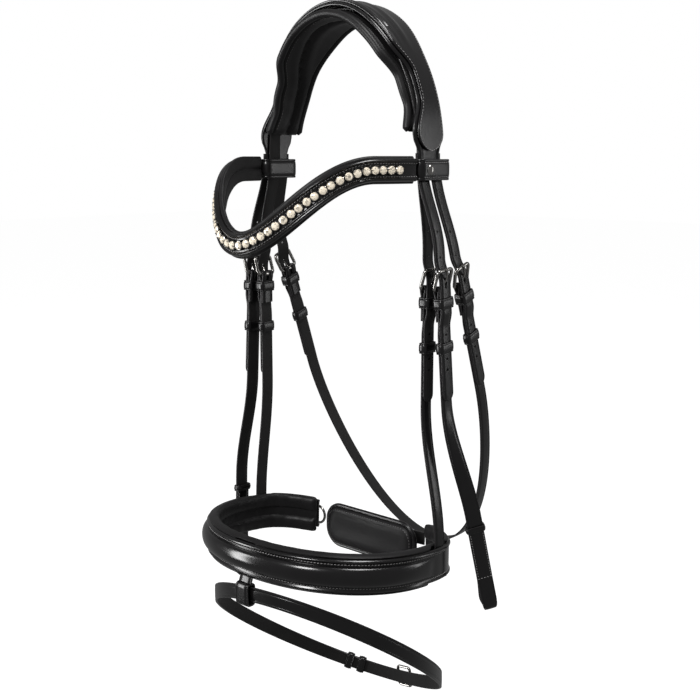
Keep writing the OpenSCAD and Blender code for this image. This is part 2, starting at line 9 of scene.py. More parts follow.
import bmesh
import bpy
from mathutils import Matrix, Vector


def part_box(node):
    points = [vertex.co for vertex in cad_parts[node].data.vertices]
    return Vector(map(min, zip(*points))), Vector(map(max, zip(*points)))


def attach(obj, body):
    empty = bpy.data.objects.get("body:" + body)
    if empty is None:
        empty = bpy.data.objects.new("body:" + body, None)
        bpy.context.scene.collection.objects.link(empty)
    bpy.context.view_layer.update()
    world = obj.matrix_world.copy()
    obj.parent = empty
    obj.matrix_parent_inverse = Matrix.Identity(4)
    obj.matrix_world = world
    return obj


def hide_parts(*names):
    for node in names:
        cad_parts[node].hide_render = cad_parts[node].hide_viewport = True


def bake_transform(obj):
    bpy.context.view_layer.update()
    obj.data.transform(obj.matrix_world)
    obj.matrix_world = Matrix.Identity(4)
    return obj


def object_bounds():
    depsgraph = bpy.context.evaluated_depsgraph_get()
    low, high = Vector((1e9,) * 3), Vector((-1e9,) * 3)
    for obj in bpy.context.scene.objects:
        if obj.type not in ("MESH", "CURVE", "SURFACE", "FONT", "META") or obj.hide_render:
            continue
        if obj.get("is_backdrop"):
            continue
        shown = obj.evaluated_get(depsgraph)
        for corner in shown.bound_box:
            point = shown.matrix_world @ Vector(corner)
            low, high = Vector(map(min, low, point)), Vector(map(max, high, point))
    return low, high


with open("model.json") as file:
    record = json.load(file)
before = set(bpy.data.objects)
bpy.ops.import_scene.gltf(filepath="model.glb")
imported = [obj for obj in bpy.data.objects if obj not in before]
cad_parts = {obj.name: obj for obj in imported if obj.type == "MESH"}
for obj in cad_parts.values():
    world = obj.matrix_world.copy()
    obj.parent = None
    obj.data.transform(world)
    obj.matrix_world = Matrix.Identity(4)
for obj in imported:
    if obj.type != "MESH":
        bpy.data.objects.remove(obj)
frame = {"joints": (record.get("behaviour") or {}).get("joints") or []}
cad_low, cad_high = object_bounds()
MM = 0.001
JOINTS = {j["name"]: j for j in frame["joints"]}
SIDES = {"near": 1, "far": -1}
NEAR, BACK, UP = Vector((1, 0, 0)), Vector((0, 1, 0)), Vector((0, 0, 1))

# Sizes that the straps share
CHEEK_W, HANGER_W = 15.0, 14.0
BAR_S, TOP_BAR_S = 32.0, 15.0        # bars of a buckle, down from the flex
KEEPER_S, RUNNER_S = 44.0, 84.0
CHAPE_END_S, STRAIGHT_S, TIP_S = 60, 136, 133.0
HOLES = (-18, 4, 72, 94, 104)        # spare holes of a billet
SLOT_S, SLOT_HALF_S, SLOT_HALF_W = 26.5, 5.2, 1.5       # the hole that the tongue goes through
HIGH_N, LOW_N = 4.5, 2.15            # how far out a billet lies on its strap
LEAN = {"near_cheek": 6.0, "far_cheek": -3.0, "hanger": 0.0, "throatlash": 19.0}

# Crown
ARCH_HALF, ARCH_RISE, ARCH_P = 80.0, 116.0, 1.95
CROWN_W, CROWN_FLARE, CROWN_PAD_T = 40.0, 9.0, 8.0

# Browband
BROW_HALF, BROW_FRONT, BROW_DIP, BROW_H, BROW_TURN = 97.0, 132.0, 62.0, 19.0, 3.0
BROW_Z, BROW_T, BROW_END = -130.0, 3.4, 78.0
CRYSTAL_N, CRYSTAL_R = 41, 3.5

# Noseband
NOSE_HALF, NOSE_HALF_NEAR, NOSE_FRONT = 108.0, 117.0, 105.0
NOSE_REAR, NOSE_REAR_NEAR, NOSE_Y, NOSE_Z, NOSE_TILT = 60.0, 78.0, -30.0, -465.0, 0.1
NOSE_END = 62.0
NOSE_STITCH_W = 10.6                 # stitch rows each side of the noseband's raised roll

# Flash strap
FLASH_HALF, FLASH_DEPTH, FLASH_W = 107.0, 110.0, 14.0
FLASH_Y, FLASH_Z, FLASH_SLOPE, FLASH_ROLL = -26.0, -498.0, 0.75, 0.12
FLASH_BUCKLE, FLASH_KEEPER, FLASH_RUNNER = 88.0, 115.0, 122.0      # angles round the strap


# ---- curves
def ease(v):
    v = max(0.0, min(1.0, v))
    return v * v * (3 - 2 * v)


def mix(a, b, t):
    return a + (b - a) * t


def hill(v, middle, half):
    """1 at the middle, falling smoothly to 0 at a distance of half."""
    return ease(1 - abs(v - middle) / half)


def dome(v, least=0.0):
    """Height of a rounded end: the root of least at 0, and 1 from v = 1 on."""
    return math.sqrt(max(least, 1 - (1 - min(1.0, v)) ** 2))


def power(v, p):
    """v to the power 2 / p with its sign kept, which turns a circle into a squarer curve."""
    return math.copysign(abs(v) ** (2 / p), v)


def bezier(a, b, c, d, n=24):
    points = []
    for i in range(n + 1):
        t = i / n
        u = 1 - t
        points.append(a * u**3 + b * (3 * u * u * t) + c * (3 * u * t * t) + d * t**3)
    return points


def resample(path, step, closed=False):
    """The same path with points at an even distance."""
    points = path + path[:1] if closed else path
    lengths = [0.0]
    for a, b in zip(points, points[1:]):
        lengths.append(lengths[-1] + (b - a).length)
    count = max(2, round(lengths[-1] / step))
    out, k = [], 1
    for i in range(count if closed else count + 1):
        s = lengths[-1] * i / count
        while k < len(lengths) - 1 and lengths[k] < s:
            k += 1
        t = (s - lengths[k - 1]) / max(1e-9, lengths[k] - lengths[k - 1])
        out.append(points[k - 1].lerp(points[k], t))
    return out


def frames(path, wdir=BACK, side=1, closed=False):
    """(point, along, across, outward) at each point of a path.

    wdir is the direction across, or a function of the point that gives it.
    """
    out, n = [], len(path)
    for i, p in enumerate(path):
        a = path[(i - 1) % n] if closed else path[max(i - 1, 0)]
        b = path[(i + 1) % n] if closed else path[min(i + 1, n - 1)]
        t = (b - a).normalized()
        wide = wdir(p) if callable(wdir) else wdir
        w = (wide - t * wide.dot(t)).normalized()
        out.append((p, t, w, t.cross(w) * side))
    return out


def path_lengths(path):
    out = [0.0]
    for a, b in zip(path, path[1:]):
        out.append(out[-1] + (b - a).length)
    return out


# ---- meshes
def mesh_piece(name, verts, faces, mats, face_mats=None, sharp=40.0):
    """A mesh object in metres from points in millimetres."""
    mesh = bpy.data.meshes.new(name)
    mesh.from_pydata([v * MM for v in verts], [], faces)
    for m in mats:
        mesh.materials.append(m)
    if face_mats:
        mesh.polygons.foreach_set("material_index", face_mats)
    bm = bmesh.new()
    bm.from_mesh(mesh)
    bmesh.ops.recalc_face_normals(bm, faces=bm.faces)
    bm.to_mesh(mesh)
    bm.free()
    mesh.polygons.foreach_set("use_smooth", [True] * len(mesh.polygons))
    mesh.set_sharp_from_angle(angle=math.radians(sharp))
    obj = bpy.data.objects.new(name, mesh)
    bpy.context.scene.collection.objects.link(obj)
    return obj


class Build:
    """Gathers points and faces of one piece."""

    def __init__(self):
        self.verts, self.faces, self.mats = [], [], []

    def loft(self, rings, seg_mats=None, closed=False):
        """Skins a row of rings that all have the same number of points."""
        base, m, n = len(self.verts), len(rings[0]), len(rings)
        for ring in rings:
            self.verts.extend(ring)
        for i in range(n if closed else n - 1):
            j = (i + 1) % n
            for k in range(m):
                q = (k + 1) % m
                here, there = base + i * m, base + j * m
                self.faces.append((here + k, here + q, there + q, there + k))
                self.mats.append(seg_mats[k] if seg_mats else 0)
        if not closed:
            for start in (base, base + (n - 1) * m):
                self.faces.append(tuple(range(start, start + m)))
                self.mats.append(seg_mats[0] if seg_mats else 0)

    def tube(self, path, r, sides=10, closed=False, wdir=UP):
        """A round tube. r is its radius, or a function of the share of the way along."""
        rings = []
        for i, (p, t, w, o) in enumerate(frames(path, wdir, 1, closed)):
            rr = r(i / (len(path) - 1)) if callable(r) else r
            rings.append([p + w * (rr * math.cos(a)) + o * (rr * math.sin(a))
                          for a in (math.tau * k / sides for k in range(sides))])
        self.loft(rings, closed=closed)

    def turned(self, p, axis, profile, sides=16):
        """A turned solid: profile is a list of (radius, height along axis)."""
        a = axis.normalized()
        u = a.orthogonal().normalized()
        v = a.cross(u)
        rings = []
        for r, h in profile:
            rings.append([p + a * h + u * (r * math.cos(x)) + v * (r * math.sin(x))
                          for x in (math.tau * k / sides for k in range(sides))])
        self.loft(rings)

    def piece(self, name, mats, sharp=40.0):
        return mesh_piece(name, self.verts, self.faces, mats, self.mats, sharp)

    def done(self, name, mats, body, *nodes, slot=None, sharp=40.0):
        """Puts the finished piece on its body, in place of the CAD nodes named."""
        obj = self.piece(name, mats, sharp)
        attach(obj, body)
        if nodes:
            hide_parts(*nodes)


LEATHER, EDGE, FLESH = 0, 1, 2


def strap_section(w, t, crease=1.9, crown=0.12):
    """A strap with burnished edges and a crease line near each edge of its face."""
    h, a = w / 2, t / 2
    c = h - crease
    face = [(h - 0.5, a * 0.95), (c + 0.45, a), (c, a - 0.32), (c - 0.45, a + 0.03), (c * 0.5, a + crown),
            (0, a + crown), (-c * 0.5, a + crown), (-c + 0.45, a + 0.03), (-c, a - 0.32), (-c - 0.45, a),
            (-h + 0.5, a * 0.95)]
    edge = [(-h + 0.12, a * 0.6), (-h, 0), (-h + 0.12, -a * 0.6)]
    back = [(-h + 0.5, -a * 0.95), (0, -a), (h - 0.5, -a * 0.95)]
    points = face + edge + back + [(-x, y) for x, y in reversed(edge)]
    mats = [LEATHER] * 10 + [EDGE] * 4 + [FLESH] * 2 + [EDGE] * 4
    return points, mats


def sweep(build, path, section, wdir=BACK, side=1, closed=False, narrow=None):
    """Lofts a section, its (w, n) and its materials, along a path. narrow gives its width's share."""
    points, mats = section
    rings = []
    for p, t, w, o in frames(path, wdir, side, closed):
        k = narrow(p) if narrow else 1.0
        rings.append([p + w * (x * k) + o * y for x, y in points])
    build.loft(rings, mats, closed)


TIP_LEAST = 0.03        # keeps a strap's last ring from closing to a line


def round_tip(total, r):
    """Width share along a strap that ends in a half round of radius r."""
    return lambda u: dome((1 - u) * total / r, TIP_LEAST)


def tip_dense(path, r, n=9):
    """Adds points near a path's end, so that a round tip is smooth."""
    s = path_lengths(path)
    body = [p for p, d in zip(path, s) if d < s[-1] - r - 0.5]
    end, along = path[-1], (path[-1] - path[-2]).normalized()
    return body + [end - along * (r * math.cos(math.pi / 2 * k / n)) for k in range(n + 1)]


THREAD_R = 0.27
# Share of the length and of the radius at each ring of a stitch
STITCH_RINGS = ((-0.5, 0.3), (-0.36, 0.9), (0, 1.1), (0.36, 0.9), (0.5, 0.3))


def stitch_row(build, path, w_at=0.0, n_at=0.0, wdir=BACK, side=1, closed=False, pitch=2.9, length=1.9):
    """Short raised threads along a path, at (w, n) on its section. Each slants a little."""
    for p, t, w, o in frames(resample(path, pitch, closed), wdir, side, closed):
        c = p + w * w_at + o * n_at
        t = (t + w * 0.12).normalized()
        rings = []
        for x, k in STITCH_RINGS:
            r = THREAD_R * k
            rings.append([c + t * (x * length) + w * (r * math.cos(a)) + o * (r * math.sin(a))
                          for a in (math.tau * q / 6 for q in range(6))])
        build.loft(rings)


# ---- materials
class Shader:
    """A new material that is built up node by node on its Principled BSDF."""

    def __init__(self, name, **inputs):
        self.material = bpy.data.materials.new(name)
        self.material.use_nodes = True
        self.tree = self.material.node_tree
        self.surface = self.tree.nodes["Principled BSDF"]
        self.fill(self.surface, inputs)

    def fill(self, node, inputs):
        """Sets inputs by name, with _ for each space."""
        for key, value in inputs.items():
            node.inputs[key.replace("_", " ")].default_value = value

    def add(self, kind, **inputs):
        node = self.tree.nodes.new(f"ShaderNode{kind}")
        self.fill(node, inputs)
        return node

    def maths(self, operation, second):
        node = self.add("Math")
        node.operation = operation
        node.inputs[1].default_value = second
        return node

    def ramp(self, dark, light, low=0.0, high=1.0):
        """A colour ramp from dark at low to light at high."""
        node = self.add("ValToRGB")
        ends = node.color_ramp.elements
        ends[0].position, ends[1].position = low, high
        ends[0].color, ends[1].color = (*dark, 1), (*light, 1)
        return node

    def link(self, source, output, target, name):
        self.tree.links.new(source.outputs[output], target.inputs[name])

    def place(self, *textures):
        """Fixes textures to the object."""
        where = self.add("TexCoord")
        for texture in textures:
            self.link(where, "Object", texture, "Vector")

    def bump(self, source, output, strength, distance):
        raised = self.add("Bump", Strength=strength, Distance=distance)
        self.link(source, output, raised, "Height")
        self.link(raised, "Normal", self.surface, "Normal")

    def gloss(self, source, output, low, high):
        """Roughness that follows a texture."""
        node = self.add("MapRange", To_Min=low, To_Max=high)
        self.link(source, output, node, "Value")
        self.link(node, "Result", self.surface, "Roughness")

    def colour(self, source, output, *ramp):
        tone = self.ramp(*ramp)
        self.link(source, output, tone, "Fac")
        self.link(tone, "Color", self.surface, "Base Color")
        return tone


def tint(colour, k):
    return [c * k for c in colour]


def leather(name, base, rough, grain, bump, sheen=0.0, coat=0.0):
    """Leather with a pebble grain, fine pores, mottling and patchy gloss. grain is in cells per metre."""
    m = Shader(name, Specular_IOR_Level=0.34, Sheen_Weight=sheen, Sheen_Roughness=0.4,
               Coat_Weight=coat, Coat_Roughness=0.2)
    pebble = m.add("TexVoronoi", Scale=grain)
    pebble.feature = "DISTANCE_TO_EDGE"
    pore = m.add("TexNoise", Scale=grain * 2.4, Detail=6)
    patch = m.add("TexNoise", Scale=38, Detail=4)
    m.place(pebble, pore, patch)
    height = m.maths("MULTIPLY_ADD", 0.5)
    m.link(pore, "Fac", height, 0)
    m.link(pebble, "Distance", height, 2)
    m.bump(height, 0, bump, 0.0002)
    m.colour(patch, "Fac", tint(base, 0.75), tint(base, 1.35), 0.3, 0.72)
    m.gloss(patch, "Fac", rough - 0.05, rough + 0.09)
    return m.material


def thread(name, colour):
    """Waxed thread with a twist."""
    m = Shader(name, Roughness=0.55)
    twist = m.add("TexWave", Scale=900, Distortion=2)
    m.place(twist)
    m.bump(twist, "Fac", 0.6, 0.0001)
    m.colour(twist, "Fac", tint(colour, 0.7), colour)
    return m.material


def steel(name, rough):
    """Polished stainless steel with faint brush marks and handling smears."""
    m = Shader(name, Metallic=1.0)
    stretch = m.add("Mapping", Scale=(300, 300, 3000))
    m.place(stretch)
    brush = m.add("TexNoise", Scale=1.0, Detail=5)
    m.link(stretch, "Vector", brush, "Vector")
    m.gloss(brush, "Fac", rough * 0.6, rough * 1.5)
    m.colour(brush, "Fac", (0.26, 0.25, 0.24), (0.46, 0.45, 0.43))
    return m.material


def crystal(name, colour):
    """Cut glass over foil: each facet gets a random flat tone, from smoky to bright, as painted glints, and
    a painted glow in the same tone.
    """
    m = Shader(name, Metallic=0.2, Roughness=0.06, Coat_Weight=0.7, Coat_Roughness=0.02,
               Emission_Strength=0.32)      # painted glow: the emission makes the stones shine with no lamp
    facet = m.add("VectorMath")
    facet.operation = "SNAP"
    facet.inputs[1].default_value = (0.12, 0.12, 0.12)
    m.link(m.add("NewGeometry"), "True Normal", facet, 0)
    painted_glint = m.add("TexWhiteNoise")
    m.link(facet, "Vector", painted_glint, "Vector")
    flaw = m.add("TexVoronoi", Scale=900)
    m.place(flaw)
    both = m.maths("MULTIPLY_ADD", 0.35)
    m.link(flaw, "Distance", both, 0)
    m.link(painted_glint, "Value", both, 2)
    # painted glints and glow: the random tone of each facet sets both its base colour and its emission
    # colour
    tone = m.colour(both, "Value", tint(colour, 0.12), colour, 0.08, 0.6)
    m.link(tone, "Color", m.surface, "Emission Color")
    return m.material


BLACK = leather("bridle_leather", (0.0055, 0.005, 0.0055), 0.27, 1500, 0.1, coat=0.35)
GLOSSY = leather("polished_leather", (0.0045, 0.004, 0.0045), 0.18, 1500, 0.05, coat=0.6)
SOFT = leather("padded_leather", (0.008, 0.0075, 0.008), 0.42, 900, 0.22, sheen=0.03)
BURNISHED = leather("burnished_edge", (0.02, 0.0185, 0.0195), 0.3, 2200, 0.15, coat=0.3)
FLESH_SIDE = leather("flesh_side", (0.014, 0.0132, 0.0132), 0.58, 1900, 0.4, sheen=0.04)
THREAD = thread("light_thread", (0.42, 0.41, 0.41))
DARK_THREAD = thread("grey_thread", (0.16, 0.155, 0.155))
STEEL = steel("stainless_steel", 0.14)
CRYSTAL = crystal("champagne_crystal", (0.98, 0.88, 0.72))
STRAP = [BLACK, BURNISHED, FLESH_SIDE]


# ---- places on the side straps
class Side:
    """Local places on one strap: s down from the flex, n outward, w back."""

    def __init__(self, joint, lean, sign=None, at=None, turn=0.0):
        self.at = at if at is not None else Vector(JOINTS[joint]["pos_m"]) / MM
        self.sign = sign if sign is not None else (1 if self.at.x > 0 else -1)
        a = math.radians(lean)
        self.down = Vector((0, math.sin(a), -math.cos(a)))
        self.lat = Vector((0, math.cos(a), math.sin(a)))
        self.out = Vector((self.sign, 0, 0))
        k = math.radians(turn)
        self.out, self.lat = (self.out * math.cos(k) - self.lat * math.sin(k),
                              self.out * math.sin(k) + self.lat * math.cos(k))

    def point(self, s, n=0.0, w=0.0):
        return self.at + self.down * s + self.out * n + self.lat * w


def from_tongue(joint, lean):
    """A strap's place, found from its tongue's hinge, which is the bar of its buckle."""
    place = Side(joint, lean)
    place.at = place.at - place.down * BAR_S
    return place


PLACES = {}
for side in SIDES:
    PLACES[side, "cheek"] = Side(f"{side}_cheekpiece_swing", LEAN[f"{side}_cheek"])
    PLACES[side, "hanger"] = from_tongue(f"{side}_hanger_tongue_hinge", LEAN["hanger"])
    PLACES[side, "throatlash"] = from_tongue(f"{side}_throatlash_tongue_hinge", LEAN["throatlash"])


# ---- crown
def arch_point(a, off, y=0.0):
    """A point off the crown's arch, at a degrees from the far foot over to the near one."""
    return Vector((-(ARCH_HALF + off) * power(math.cos(math.radians(a)), ARCH_P), y,
                   -ARCH_RISE + (ARCH_RISE + off) * power(math.sin(math.radians(a)), ARCH_P)))


def crown_front(a):
    d = min(a, 180 - a)
    cut = 11 * ease((d - 8) / 14) * ease((46 - d) / 14)
    return -CROWN_W / 2 - CROWN_FLARE * ease((d - 36) / 26) * 0.4 + cut


def crown_back(a):
    return CROWN_W / 2 + CROWN_FLARE * ease((min(a, 180 - a) - 36) / 26) * 0.6


def slab(w, top, bottom, r, n=16, groove=(), mid_x=0.0):
    """A slab with rounded edges in (w, n).

    groove is a list of (place, depth, half width), cut into the top.
    """
    mid, half = (top + bottom) / 2, w / 2

    def edge(x):
        over = (abs(x) - (half - r)) / r
        return math.sqrt(max(0.0, 1 - over * over)) if over > 0 else 1.0

    xs = [-math.cos(math.pi * i / n) * half for i in range(n + 1)]
    up = [(mid_x + x, mid + (top - mid) * edge(x) - sum(d * hill(x, g, h) for g, d, h in groove))
          for x in xs]
    down = [(mid_x + x, mid + (bottom - mid) * edge(x)) for x in reversed(xs[1:-1])]
    return up + down


def cut(obj, cutter):
    """Cuts one mesh out of another for good."""
    mod = obj.modifiers.new("cut", "BOOLEAN")
    mod.object, mod.solver = cutter, "EXACT"
    graph = bpy.context.evaluated_depsgraph_get()
    mesh = bpy.data.meshes.new_from_object(obj.evaluated_get(graph))
    obj.modifiers.clear()
    obj.data = mesh
    bpy.data.objects.remove(cutter)
    mesh.set_sharp_from_angle(angle=math.radians(40))


def pad_taper(a):
    """The crown's padding narrows towards its feet."""
    return 6.5 * ease((28 - min(a, 180 - a)) / 19)


def arch_band(build, a0, a1, steps, low, high, grow, r, waves, round_end=0.0, leg=0.0):
    """A band that follows the crown, between two heights.

    grow widens it, round_end rounds and tapers its ends, and leg runs its feet straight down.
    """
    rings = []
    for i in range(steps + 1):
        a = mix(a0, a1, i / steps)
        in_by = pad_taper(a) if round_end else 0.0
        front, back = crown_front(a) - grow + in_by, crown_back(a) + grow - in_by * 0.6
        mid, half = (low + high) / 2, 1.0
        if round_end:
            left = min((arch_point(a, 0) - arch_point(e, 0)).length for e in (a0, a1)) / round_end
            half = dome(left, 0.04)
        ring = slab(back - front, high, low, r, 28, mid_x=(front + back) / 2)
        rings.append([arch_point(a, mid + (h + waves(a, y, h) - mid) * half, y) for y, h in ring])
    if leg:
        def foot(ring, share):
            return [p - UP * (leg * share) for p in ring]
        shares = [k / 8 for k in range(1, 9)]
        rings = [foot(rings[0], k) for k in reversed(shares)] + rings + [foot(rings[-1], k) for k in shares]
        for p in (p for ring in rings for p in ring):
            p.y = 1 + (p.y - 1) * mix(1, LEG_NARROW, ease((LEG_FROM_Z - p.z) / (ARCH_RISE + LEG_FROM_Z)))
    build.loft(rings)


# ---- headpiece
LEATHER_OFF, LEATHER_THICK, HEADSTRAP_OFF = 10.8, 2.8, 8.4
LEG_NARROW, LEG_FROM_Z = 0.7, -102.0     # the leather narrows here to pass through the browband's loops
STEPS = 72


def crown_top_waves(a, y, h):
    """Rolled edges on the crown leather, with a shallow fold inside each."""
    front, back = crown_front(a), crown_back(a)
    if h < LEATHER_OFF + LEATHER_THICK / 2:
        return 0.0
    rolls = hill(y, front + 3, 3) + hill(y, back - 3, 3)
    folds = hill(y, front + 6.4, 1.4) + hill(y, back - 6.4, 1.4)
    return 0.8 * rolls - 0.5 * folds


b = Build()
arch_band(b, 0, 180, STEPS, LEATHER_OFF, LEATHER_OFF + LEATHER_THICK, 0, 1.4, crown_top_waves,
          leg=14.0)
b.done("crown_leather", [BLACK], "headpiece", "headpiece_leather")

b = Build()
OVERLAY_FIRST, OVERLAY_R, OVERLAY_INSET = 1.0, 15.0, 2.6
OVERLAY_LOW = LEATHER_OFF + LEATHER_THICK + 0.9
OVERLAY_HIGH = OVERLAY_LOW + 2.2
OVERLAY_ANGLES = [OVERLAY_FIRST + 0.4 * k for k in range(25)] + list(range(11, 90))
OVERLAY_ANGLES += [180 - a for a in reversed(OVERLAY_ANGLES)]


def overlay_edges(a, inset=OVERLAY_INSET):
    """Front and back edge of the overlay, which ends in a round tab at each foot."""
    rise = (arch_point(min(a, 180 - a), 14) - arch_point(OVERLAY_FIRST, 14)).length
    share = dome(rise / OVERLAY_R, 0.01)
    mid, half = (crown_front(a) + crown_back(a)) / 2, (crown_back(a) - crown_front(a)) / 2
    half = max(0.3, (half - OVERLAY_INSET) * share - (inset - OVERLAY_INSET))
    return mid - half, mid + half


rings = []
for a in OVERLAY_ANGLES:
    front, back = overlay_edges(a)
    on_top = ease((min(a, 180 - a) - 38) / 22)
    ring = []
    for y, h in slab(back - front, OVERLAY_HIGH, OVERLAY_LOW, 1.2, 32, mid_x=(front + back) / 2):
        if h > OVERLAY_LOW + 1.1:
            drift = 5 * math.sin(math.radians(2 * a))
            h += on_top * (1.3 * hill(y, -13 + drift, 4.5) + 1.3 * hill(y, 6 + drift, 6)
                           - 1.2 * hill(y, -6.5 + drift, 2.5))
        ring.append((y, h))
    rings.append([arch_point(a, h, y) for y, h in ring])
b.loft(rings)
b.done("crown_overlay", [GLOSSY], "headpiece", "headpiece_overlay")

b = Build()
for k in (0, 1):
    stitch_row(b, [arch_point(a, OVERLAY_HIGH - 0.05, overlay_edges(a, OVERLAY_INSET + 1.9)[k])
                   for a in OVERLAY_ANGLES])
b.done("crown_overlay_stitches", [THREAD], "headpiece")


def crown_pad_waves(a, y, h):
    """Quilted underside: rolled edges, a middle seam, and soft wrinkles over the bends."""
    front, back = crown_front(a) - 3, crown_back(a) + 3
    wrinkle = 0.16 * math.sin(a * 0.5 + y * 0.1) * math.sin(a * 0.31 + 1.0)
    if h < CROWN_PAD_T / 2:
        seam = mix(front, back, 0.5 + 0.16 * math.sin(math.radians(a * 4)))
        return 3.6 * hill(y, seam, 5) - 0.8 * hill(y, seam - 9, 8) - 0.8 * hill(y, seam + 9, 8) + wrinkle
    return wrinkle * 0.4


b = Build()
PAD_FOOT, PIPING_R = 9, 3.5
arch_band(b, PAD_FOOT, 180 - PAD_FOOT, STEPS * 3, 0.9, CROWN_PAD_T, 2.6, 4.0, crown_pad_waves,
          round_end=7.0)
b.done("crown_padding", [SOFT], "headpiece", "headpiece_padding")

b = Build()
for edge, sign, share in ((crown_front, -1, 1), (crown_back, 1, 0.6)):
    b.tube([arch_point(a, CROWN_PAD_T / 2 + 0.2, edge(a) + sign * (5.4 - pad_taper(a) * share))
            for a in [mix(PAD_FOOT, 180 - PAD_FOOT, i / 120) for i in range(121)]],
           lambda u: PIPING_R * dome(min(u, 1 - u) / 0.012, 0.05), 18)
b.done("crown_piping", [SOFT], "headpiece", "headpiece_piping")

b = Build()
for edge, sign in ((crown_front, 1), (crown_back, -1)):
    stitch_row(b, [arch_point(a, 1.1, edge(a) + sign * (0.6 + pad_taper(a))) for a in range(12, 169, 2)])
b.done("crown_padding_stitches", [DARK_THREAD], "headpiece")


# ---- billets, buckles, keepers and runners
def tail_n(s):
    """How far out a billet lies at s below the flex."""
    return HIGH_N * ease((s - 6) / 19) - (HIGH_N - LOW_N) * ease((s - 52) / 13)


def tail_path(place):
    return [place.point(s, tail_n(s)) for s in [mix(1.0, TIP_S, i / 60) for i in range(61)]]


def billet_holes(obj, place):
    """Punches the billet's spare holes and the one that the tongue goes through."""
    c = Build()
    for s in HOLES:
        c.turned(place.point(s, tail_n(s)), place.out, [(1.25, -4), (1.25, 4)], 14)
    slot = []
    for n in (-4.0, 4.0):
        ring = []
        for k in range(16):
            x = math.tau * k / 16
            s = SLOT_S + SLOT_HALF_S * math.sin(x)
            ring.append(place.point(s, HIGH_N + n, SLOT_HALF_W * math.cos(x)))
        slot.append(ring)
    c.loft(slot)
    cut(obj, c.piece("holes", [FLESH_SIDE]))


def billet_run(y, place, out):
    """From the crown's foot down to the flex."""
    a = Vector((place.sign * (ARCH_HALF + out), y, -ARCH_RISE))
    e = place.point(0)
    return bezier(a, a + Vector((0, 0, -34)), e - place.down * 32, e, 28)


CROWN_MID = LEATHER_OFF + LEATHER_THICK / 2
for side in SIDES:
    for kind, y, w, body, tails in (
            ("cheek", -9.5, CHEEK_W, f"{side}_cheekpiece", [f"{side}_cheek_billet_tail"]),
            ("throatlash", 9.5, HANGER_W, "throatlash", ["throatlash_billet_tails"])):
        place = PLACES[side, kind]
        path = billet_run(y, place, CROWN_MID)[:-1] + tail_path(place)
        path = tip_dense(resample(path, 2.2), w / 2)
        lengths = path_lengths(path)
        total = lengths[-1]
        section, mats = strap_section(w, 1.9)
        share = round_tip(total, w / 2)
        b, rings = Build(), []
        for (p, t, across, o), s in zip(frames(path, BACK, place.sign), lengths):
            rings.append([p + across * (x * share(s / total)) + o * n for x, n in section])
        b.loft(rings, mats)
        obj = b.piece(f"{side}_{kind}_billet", STRAP)
        billet_holes(obj, place)
        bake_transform(obj)
        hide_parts(*tails)

# The noseband's strap runs over the poll in one piece, flesh side down
near, far = PLACES["near", "hanger"], PLACES["far", "hanger"]
over = [arch_point(a, HEADSTRAP_OFF + 1, -5) for a in range(0, 181, 3)]
path = (tail_path(far)[::-1] + billet_run(-5, far, HEADSTRAP_OFF + 1)[::-1][1:]
        + over[1:-1] + billet_run(-5, near, HEADSTRAP_OFF + 1)[:-1] + tail_path(near))
path = resample(path, 2.2)
path = tip_dense(tip_dense(path, 7)[::-1], 7)[::-1]
lengths = path_lengths(path)
section, mats = strap_section(HANGER_W - 0.2, 1.8)
b, rings = Build(), []
for (p, t, across, o), s in zip(frames(path), lengths):
    left = min(s, lengths[-1] - s)
    k = dome(left / 7, TIP_LEAST)
    rings.append([p + across * (x * k) + o * n for x, n in section])
b.loft(rings, mats)
obj = b.piece("noseband_headstrap_and_billets", [FLESH_SIDE, BURNISHED, FLESH_SIDE])
for place in (near, far):
    billet_holes(obj, place)
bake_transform(obj)
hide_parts("noseband_headstrap", "hanger_billet_tails")


def ring_path(centre, u, v, hu, hv, r, n=5):
    """A rounded rectangle in the plane of u and v."""
    points = []
    for su, sv, start in ((1, 1, 0), (-1, 1, 90), (-1, -1, 180), (1, -1, 270)):
        for k in range(n + 1):
            a = math.radians(start + 90 * k / n)
            points.append(centre + u * (su * (hu - r) + r * math.cos(a))
                          + v * (sv * (hv - r) + r * math.sin(a)))
    return points


def band(build, place, w, n0, n1, s, height=9.6, t=1.4):
    """A leather keeper or runner around a strap, from n0 to n1 outward."""
    mid = (n0 + n1) / 2
    loop = ring_path(place.point(s, mid), place.lat, place.out, w / 2 + 0.4 + t / 2, (n1 - n0 + t) / 2, 1.6)
    section = strap_section(height, t, 1.3, crown=0.25)
    sweep(build, resample(loop, 1.3, True), section, wdir=place.down, side=place.sign, closed=True)


def buckle(build, place, w):
    """A heavy rounded frame that rises outward from its bar."""
    top = place.point(TOP_BAR_S, HIGH_N + 0.7)
    bar = place.point(BAR_S, 0)
    mid, along = (top + bar) / 2, (top - bar)
    half = along.length / 2
    loop = resample(ring_path(mid, place.lat, along.normalized(), w / 2 + 3, half, 3.2, 8), 0.9, True)
    build.tube(loop, 1.6, 14, True, wdir=along.cross(place.lat).normalized())


# A side tongue: its lean off the strap before and after its knee, then places along it. PIN_TIP is
# measured on from the knee, and the others from the bar.
TONGUE_RISE, TONGUE_LAST_RISE = math.radians(34), math.radians(6)
PIN_START, PIN_BEND, PIN_KNEE, PIN_TIP = 1.9, 10.1, 12.6, 8.8
PIN_R, PIN_ROUND = 0.95, 0.07        # its radius, and the share of its length that the round tip takes
EYE_R = 2.05
# The fold round a bar: radius of its middle, and how far out the middle of each flat layer lies
FOLD_R, LAYER_N = 2.45, 1.0


